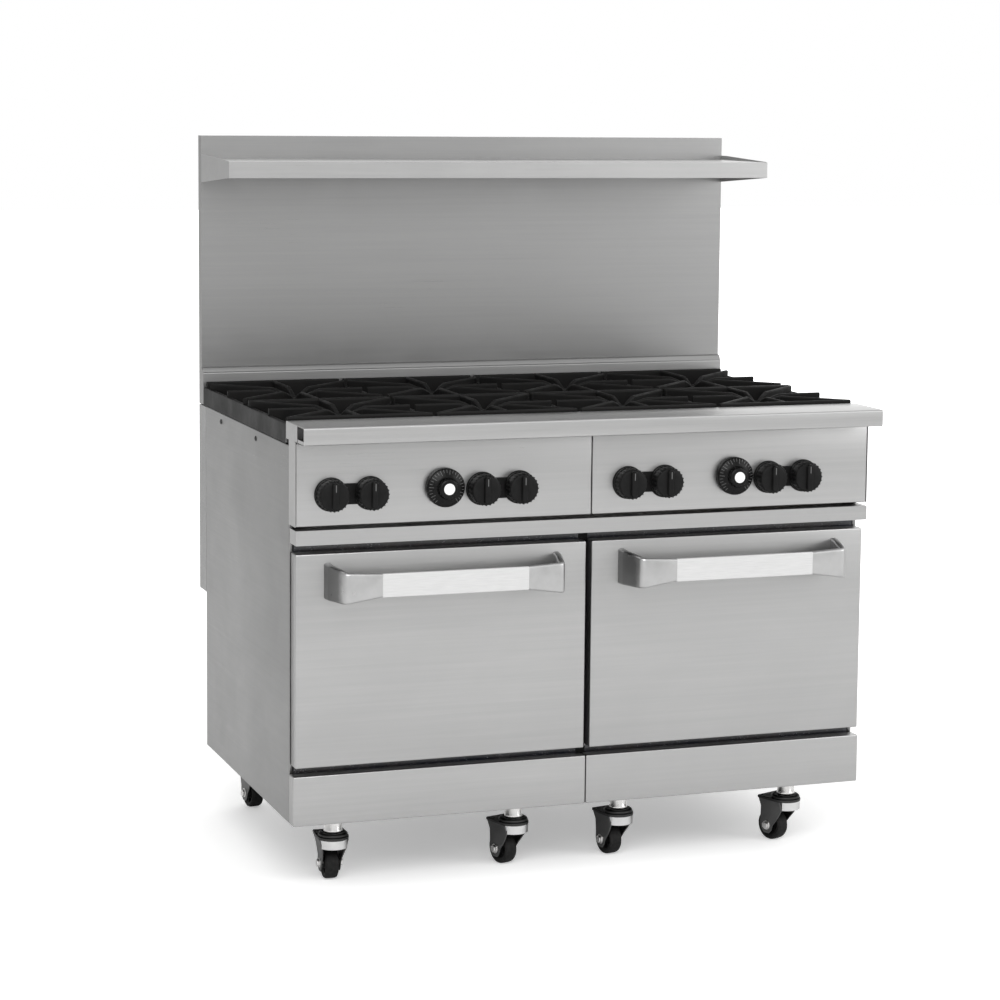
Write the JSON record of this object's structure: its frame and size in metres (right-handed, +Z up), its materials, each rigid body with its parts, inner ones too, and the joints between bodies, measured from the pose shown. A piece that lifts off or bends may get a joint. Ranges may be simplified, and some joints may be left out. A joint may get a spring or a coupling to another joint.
{
  "type": "restaurant gas range",
  "caption": "Floor-standing restaurant gas range: open burners under cast grates, side-by-side bottom-hinged ovens, tall riser with a shelf, and swivel casters.",
  "frame": {"origin": "on the floor under the middle of the range, midway between its sides and midway between the front of the door handles and the back of the flue box", "axes": "+X to the right as the cook sees it, +Y from the doors towards the wall, +Z up"},
  "size_m": [1.2192, 0.8716, 1.4665],
  "materials": {
    "stainless": "brushed sheet, grain along the width",
    "aluminised_steel": "dull aluminised sheet",
    "black_enamel": "black enamel, satin",
    "oven_enamel": "dark porcelain enamel",
    "cast_iron": "sand-cast, matt black",
    "cast_burner": "raw casting, heat-tinted",
    "knob_plastic": "moulded, matt",
    "dial_plastic": "moulded, gloss",
    "cast_aluminium": "cast and satin-polished",
    "brass": "turned brass valves on a plated pipe",
    "zinc": "bright zinc plating",
    "rubber": "moulded solid rubber"
  },
  "bodies": {
    "range": {"base_frame": "black_enamel", "rear_panel": "aluminised_steel", "back_riser": "stainless", "high_shelf": "stainless", "front_ledge": "stainless", "cooktop_frame": "black_enamel", "gas_manifold": "brass", "left_side_panel": "stainless", "right_side_panel": "stainless", "control_panel_left": "stainless", "control_panel_right": "stainless", "kick_plate_left": "stainless", "kick_plate_right": "stainless", "oven_liner_left": "oven_enamel", "oven_liner_right": "oven_enamel", "burner_pair_1": "cast_burner", "burner_pair_2": "cast_burner", "burner_pair_3": "cast_burner", "burner_pair_4": "cast_burner"},
    "door_left": {"door_outer_left": "stainless", "door_liner_left": "oven_enamel", "door_handle_left": "cast_aluminium"},
    "door_right": {"door_outer_right": "stainless", "door_liner_right": "oven_enamel", "door_handle_right": "cast_aluminium"},
    "crumb_tray": {"crumb_tray": "stainless"},
    "knob_1": {"burner_knob_1": "knob_plastic"},
    "knob_2": {"burner_knob_2": "knob_plastic"},
    "knob_3": {"burner_knob_3": "knob_plastic"},
    "knob_4": {"burner_knob_4": "knob_plastic"},
    "knob_5": {"burner_knob_5": "knob_plastic"},
    "knob_6": {"burner_knob_6": "knob_plastic"},
    "knob_7": {"burner_knob_7": "knob_plastic"},
    "knob_8": {"burner_knob_8": "knob_plastic"},
    "dial_left": {"oven_dial_left": "dial_plastic"},
    "dial_right": {"oven_dial_right": "dial_plastic"},
    "grate_f1": {"grate_front_1": "cast_iron"},
    "grate_f2": {"grate_front_2": "cast_iron"},
    "grate_f3": {"grate_front_3": "cast_iron"},
    "grate_f4": {"grate_front_4": "cast_iron"},
    "grate_r1": {"grate_rear_1": "cast_iron"},
    "grate_r2": {"grate_rear_2": "cast_iron"},
    "grate_r3": {"grate_rear_3": "cast_iron"},
    "grate_r4": {"grate_rear_4": "cast_iron"},
    "caster_1": {"caster_fork_1": "zinc"},
    "caster_2": {"caster_fork_2": "zinc"},
    "caster_3": {"caster_fork_3": "zinc"},
    "caster_4": {"caster_fork_4": "zinc"},
    "caster_5": {"caster_fork_5": "zinc"},
    "caster_6": {"caster_fork_6": "zinc"},
    "caster_7": {"caster_fork_7": "zinc"},
    "caster_8": {"caster_fork_8": "zinc"},
    "wheel_1": {"caster_wheel_1": "rubber"},
    "wheel_2": {"caster_wheel_2": "rubber"},
    "wheel_3": {"caster_wheel_3": "rubber"},
    "wheel_4": {"caster_wheel_4": "rubber"},
    "wheel_5": {"caster_wheel_5": "rubber"},
    "wheel_6": {"caster_wheel_6": "rubber"},
    "wheel_7": {"caster_wheel_7": "rubber"},
    "wheel_8": {"caster_wheel_8": "rubber"}
  },
  "joints": [
    {"name": "door_left_hinge", "type": "hinge", "parent": "range", "child": "door_left", "pos_m": [-0.3048, -0.341, 0.266], "axis": [1, 0, 0], "range_deg": [0, 90]},
    {"name": "door_right_hinge", "type": "hinge", "parent": "range", "child": "door_right", "pos_m": [0.3048, -0.341, 0.266], "axis": [1, 0, 0], "range_deg": [0, 90]},
    {"name": "crumb_tray_slide", "type": "slide", "parent": "range", "child": "crumb_tray", "axis": [0, -1, 0], "range_m": [0, 0.5]},
    {"name": "knob_1_turn", "type": "hinge", "parent": "range", "child": "knob_1", "pos_m": [-0.5388, -0.37, 0.7945], "axis": [0, -1, 0], "range_deg": [0, 90]},
    {"name": "knob_2_turn", "type": "hinge", "parent": "range", "child": "knob_2", "pos_m": [-0.4598, -0.37, 0.7945], "axis": [0, -1, 0], "range_deg": [0, 90]},
    {"name": "knob_3_turn", "type": "hinge", "parent": "range", "child": "knob_3", "pos_m": [-0.2313, -0.37, 0.7945], "axis": [0, -1, 0], "range_deg": [0, 90]},
    {"name": "knob_4_turn", "type": "hinge", "parent": "range", "child": "knob_4", "pos_m": [-0.1538, -0.37, 0.7945], "axis": [0, -1, 0], "range_deg": [0, 90]},
    {"name": "knob_5_turn", "type": "hinge", "parent": "range", "child": "knob_5", "pos_m": [0.0768, -0.37, 0.7945], "axis": [0, -1, 0], "range_deg": [0, 90]},
    {"name": "knob_6_turn", "type": "hinge", "parent": "range", "child": "knob_6", "pos_m": [0.1558, -0.37, 0.7945], "axis": [0, -1, 0], "range_deg": [0, 90]},
    {"name": "knob_7_turn", "type": "hinge", "parent": "range", "child": "knob_7", "pos_m": [0.3843, -0.37, 0.7945], "axis": [0, -1, 0], "range_deg": [0, 90]},
    {"name": "knob_8_turn", "type": "hinge", "parent": "range", "child": "knob_8", "pos_m": [0.4618, -0.37, 0.7945], "axis": [0, -1, 0], "range_deg": [0, 90]},
    {"name": "dial_left_turn", "type": "hinge", "parent": "range", "child": "dial_left", "pos_m": [-0.3098, -0.37, 0.8005], "axis": [0, -1, 0], "range_deg": [0, 280]},
    {"name": "dial_right_turn", "type": "hinge", "parent": "range", "child": "dial_right", "pos_m": [0.3058, -0.37, 0.8005], "axis": [0, -1, 0], "range_deg": [0, 280]},
    {"name": "grate_f1_lift", "type": "slide", "parent": "range", "child": "grate_f1", "axis": [0, 0, 1], "range_m": [0, 0.15]},
    {"name": "grate_f2_lift", "type": "slide", "parent": "range", "child": "grate_f2", "axis": [0, 0, 1], "range_m": [0, 0.15]},
    {"name": "grate_f3_lift", "type": "slide", "parent": "range", "child": "grate_f3", "axis": [0, 0, 1], "range_m": [0, 0.15]},
    {"name": "grate_f4_lift", "type": "slide", "parent": "range", "child": "grate_f4", "axis": [0, 0, 1], "range_m": [0, 0.15]},
    {"name": "grate_r1_lift", "type": "slide", "parent": "range", "child": "grate_r1", "axis": [0, 0, 1], "range_m": [0, 0.15]},
    {"name": "grate_r2_lift", "type": "slide", "parent": "range", "child": "grate_r2", "axis": [0, 0, 1], "range_m": [0, 0.15]},
    {"name": "grate_r3_lift", "type": "slide", "parent": "range", "child": "grate_r3", "axis": [0, 0, 1], "range_m": [0, 0.15]},
    {"name": "grate_r4_lift", "type": "slide", "parent": "range", "child": "grate_r4", "axis": [0, 0, 1], "range_m": [0, 0.15]},
    {"name": "caster_1_swivel", "type": "hinge", "parent": "range", "child": "caster_1", "pos_m": [-0.5068, -0.272, 0.1], "axis": [0, 0, 1], "continuous": true},
    {"name": "caster_2_swivel", "type": "hinge", "parent": "range", "child": "caster_2", "pos_m": [-0.1268, -0.272, 0.1], "axis": [0, 0, 1], "continuous": true},
    {"name": "caster_3_swivel", "type": "hinge", "parent": "range", "child": "caster_3", "pos_m": [0.1028, -0.272, 0.1], "axis": [0, 0, 1], "continuous": true},
    {"name": "caster_4_swivel", "type": "hinge", "parent": "range", "child": "caster_4", "pos_m": [0.4828, -0.272, 0.1], "axis": [0, 0, 1], "continuous": true},
    {"name": "caster_5_swivel", "type": "hinge", "parent": "range", "child": "caster_5", "pos_m": [-0.5068, 0.32, 0.1], "axis": [0, 0, 1], "continuous": true},
    {"name": "caster_6_swivel", "type": "hinge", "parent": "range", "child": "caster_6", "pos_m": [-0.1268, 0.32, 0.1], "axis": [0, 0, 1], "continuous": true},
    {"name": "caster_7_swivel", "type": "hinge", "parent": "range", "child": "caster_7", "pos_m": [0.1028, 0.32, 0.1], "axis": [0, 0, 1], "continuous": true},
    {"name": "caster_8_swivel", "type": "hinge", "parent": "range", "child": "caster_8", "pos_m": [0.4828, 0.32, 0.1], "axis": [0, 0, 1], "continuous": true},
    {"name": "wheel_1_spin", "type": "hinge", "parent": "caster_1", "child": "wheel_1", "pos_m": [-0.50436, -0.23709, 0.032], "axis": [0.9976, -0.0698, 0], "continuous": true},
    {"name": "wheel_2_spin", "type": "hinge", "parent": "caster_2", "child": "wheel_2", "pos_m": [-0.13645, -0.23836, 0.032], "axis": [0.9613, 0.2756, 0], "continuous": true},
    {"name": "wheel_3_spin", "type": "hinge", "parent": "caster_3", "child": "wheel_3", "pos_m": [0.09612, -0.23764, 0.032], "axis": [0.9816, 0.1908, 0], "continuous": true},
    {"name": "wheel_4_spin", "type": "hinge", "parent": "caster_4", "child": "wheel_4", "pos_m": [0.47026, -0.23932, 0.032], "axis": [0.9336, 0.3584, 0], "continuous": true},
    {"name": "wheel_5_spin", "type": "hinge", "parent": "caster_5", "child": "wheel_5", "pos_m": [-0.51167, 0.35466, 0.032], "axis": [0.9903, 0.1392, 0], "continuous": true},
    {"name": "wheel_6_spin", "type": "hinge", "parent": "caster_6", "child": "wheel_6", "pos_m": [-0.11483, 0.35289, 0.032], "axis": [0.9397, -0.342, 0], "continuous": true},
    {"name": "wheel_7_spin", "type": "hinge", "parent": "caster_7", "child": "wheel_7", "pos_m": [0.09552, 0.35424, 0.032], "axis": [0.9781, 0.2079, 0], "continuous": true},
    {"name": "wheel_8_spin", "type": "hinge", "parent": "caster_8", "child": "wheel_8", "pos_m": [0.46637, 0.3509, 0.032], "axis": [0.8829, 0.4695, 0], "continuous": true}
  ]
}
